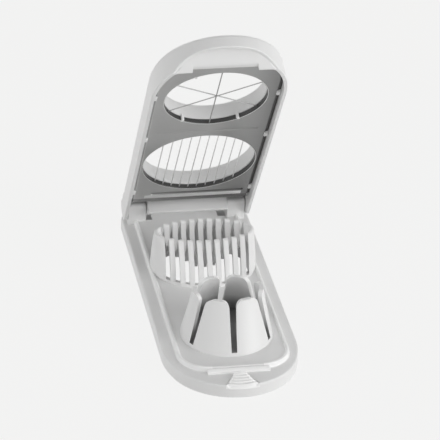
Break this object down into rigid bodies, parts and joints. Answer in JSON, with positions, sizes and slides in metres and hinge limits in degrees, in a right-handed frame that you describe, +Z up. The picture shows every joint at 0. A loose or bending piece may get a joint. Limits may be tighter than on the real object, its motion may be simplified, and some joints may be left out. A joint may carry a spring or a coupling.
{
  "type": "egg slicer",
  "caption": "Hinged egg slicer: lid with a wired steel plate closes over an oval slotted comb for slices and a petal cup for wedges.",
  "frame": {"origin": "middle of the footprint, on the table", "axes": "+Z up, +Y towards the hinge, +X along the hinge axis; the thumb tab is at -Y"},
  "size_m": [0.08, 0.209, 0.1851],
  "materials": {
    "white_plastic": "smooth white moulded plastic with a soft sheen",
    "lid_plastic": "smooth white moulded plastic with a soft sheen",
    "steel_plate": "rolled stainless sheet, satin",
    "wire_steel": "drawn stainless wire",
    "pin_steel": "turned steel"
  },
  "bodies": {
    "base": {"base_tray": "white_plastic", "comb_cradle": "white_plastic", "wedge_cradle": "white_plastic"},
    "lid": {"lid_shell": "lid_plastic", "cutting_plate": "steel_plate", "slicing_wire_1": "wire_steel", "slicing_wire_2": "wire_steel", "slicing_wire_3": "wire_steel", "slicing_wire_4": "wire_steel", "slicing_wire_5": "wire_steel", "slicing_wire_6": "wire_steel", "slicing_wire_7": "wire_steel", "slicing_wire_8": "wire_steel", "slicing_wire_9": "wire_steel", "slicing_wire_10": "wire_steel", "wedge_wire_1": "wire_steel", "wedge_wire_2": "wire_steel", "wedge_wire_3": "wire_steel", "slicing_wire_crimps": "pin_steel", "wedge_wire_crimps": "pin_steel", "hinge_pin_left": "pin_steel", "hinge_pin_right": "pin_steel"}
  },
  "joints": [
    {"name": "lid_hinge", "type": "hinge", "parent": "base", "child": "lid", "pos_m": [0, 0.0965, 0.01725], "axis": [1, 0, 0], "range_deg": [-38, 55.06]}
  ]
}
